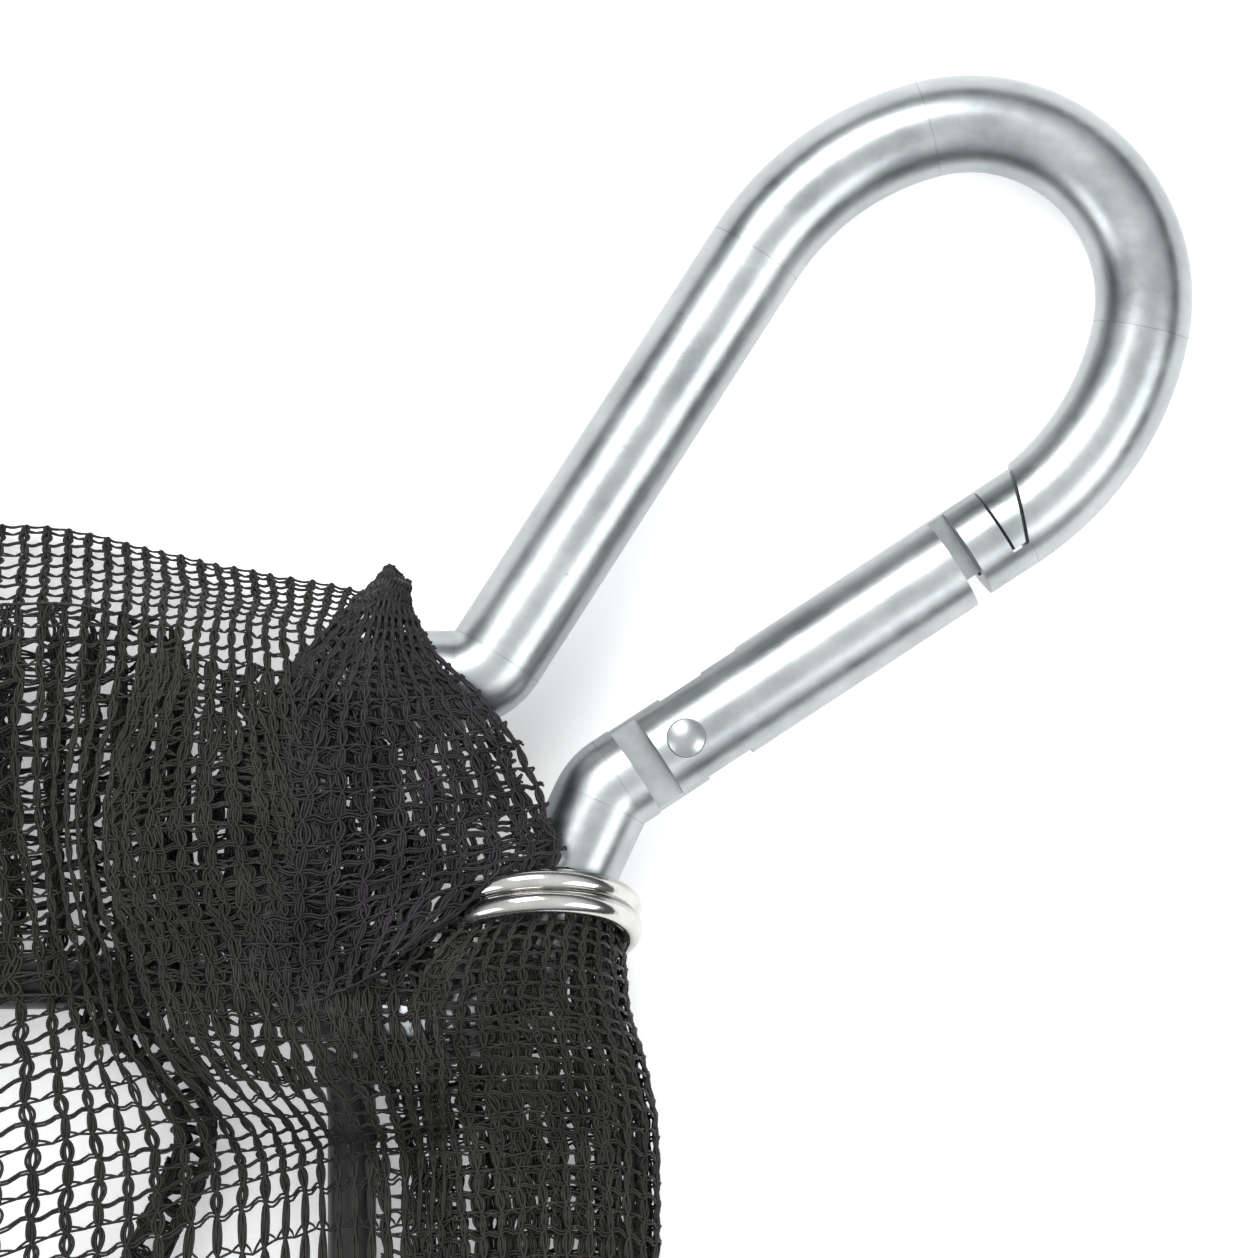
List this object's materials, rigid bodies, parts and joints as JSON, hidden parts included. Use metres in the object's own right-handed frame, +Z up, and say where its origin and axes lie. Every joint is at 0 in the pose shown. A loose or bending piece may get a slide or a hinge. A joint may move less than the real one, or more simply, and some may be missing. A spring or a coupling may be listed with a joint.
{
  "type": "folding crab trap",
  "caption": "Folding rod-framed net crab trap lying folded flat, with hinged arches, funnel mouths and a snap hook on a split ring at one corner.",
  "frame": {"origin": "middle of the underside of the floor net, on the ground", "axes": "+X along the trap's length, +Y across it towards the side whose corner carries the hook, +Z up"},
  "size_m": [0.5501, 0.4088, 0.0174],
  "materials": {
    "rod": "satin",
    "plated_steel": "satin",
    "nickel": "polished",
    "net": "matte",
    "black_plastic": "satin",
    "spring_steel": "satin"
  },
  "bodies": {
    "base": {"base_frame": "rod", "frame_sleeve": "plated_steel", "hinge_block_back": "black_plastic", "hinge_block_front": "black_plastic", "floor_net": "net", "bait_pouch": "net", "bait_clip": "black_plastic"},
    "right_arch": {"arch_right": "rod", "shell_net_right": "net"},
    "left_arch": {"arch_left": "rod", "shell_net_left": "net"},
    "right_mouth": {"entrance_ring_right": "black_plastic", "funnel_right": "net"},
    "left_mouth": {"entrance_ring_left": "black_plastic", "funnel_left": "net"},
    "corner": {"net_flap": "net"},
    "ring": {"split_ring": "nickel"},
    "hook": {"hook_body": "plated_steel", "gate_rivet": "plated_steel"},
    "gate": {"hook_gate": "plated_steel", "gate_spring": "spring_steel"},
    "plunger": {"gate_plunger": "spring_steel"}
  },
  "joints": [
    {"name": "right_arch_fold", "type": "hinge", "parent": "base", "child": "right_arch", "pos_m": [0.007, 0, 0.003], "axis": [0, -1, 0], "range_deg": [0, 88]},
    {"name": "left_arch_fold", "type": "hinge", "parent": "base", "child": "left_arch", "pos_m": [-0.007, 0, 0.003], "axis": [0, 1, 0], "range_deg": [0, 88]},
    {"name": "right_mouth_swing", "type": "hinge", "parent": "base", "child": "right_mouth", "pos_m": [0.007, 0, 0.003], "axis": [0, -1, 0], "range_deg": [0, 44]},
    {"name": "left_mouth_swing", "type": "hinge", "parent": "base", "child": "left_mouth", "pos_m": [-0.007, 0, 0.003], "axis": [0, 1, 0], "range_deg": [0, 44]},
    {"name": "corner_lift", "type": "hinge", "parent": "base", "child": "corner", "pos_m": [0.2193, 0.1457, 0.009], "axis": [0.7071, -0.7071, 0], "range_deg": [0, 60]},
    {"name": "ring_spin", "type": "hinge", "parent": "corner", "child": "ring", "pos_m": [0.24345, 0.1533, 0.00915], "axis": [0.0485, -0.9259, 0.3746], "continuous": true},
    {"name": "hook_swing", "type": "hinge", "parent": "corner", "child": "hook", "pos_m": [0.24345, 0.1533, 0.00915], "axis": [0.0465, 0.0472, 0.9978], "range_deg": [-4, 4]},
    {"name": "gate_open", "type": "hinge", "parent": "hook", "child": "gate", "pos_m": [0.25527, 0.16827, 0.00793], "axis": [0.0465, 0.0472, 0.9978], "range_deg": [0, 24], "stiffness_Nm_per_rad": 0.1, "springref_deg": -28.65},
    {"name": "plunger_slide", "type": "slide", "parent": "gate", "child": "plunger", "axis": [0.8353, 0.546, -0.0648], "range_m": [0, 0.001]}
  ],
  "couplings": [
    {"joint": "right_mouth_swing", "follows": "right_arch_fold", "ratio": 0.5},
    {"joint": "left_mouth_swing", "follows": "left_arch_fold", "ratio": 0.5},
    {"joint": "plunger_slide", "follows": "gate_open", "m_per_rad": 0.00215}
  ]
}
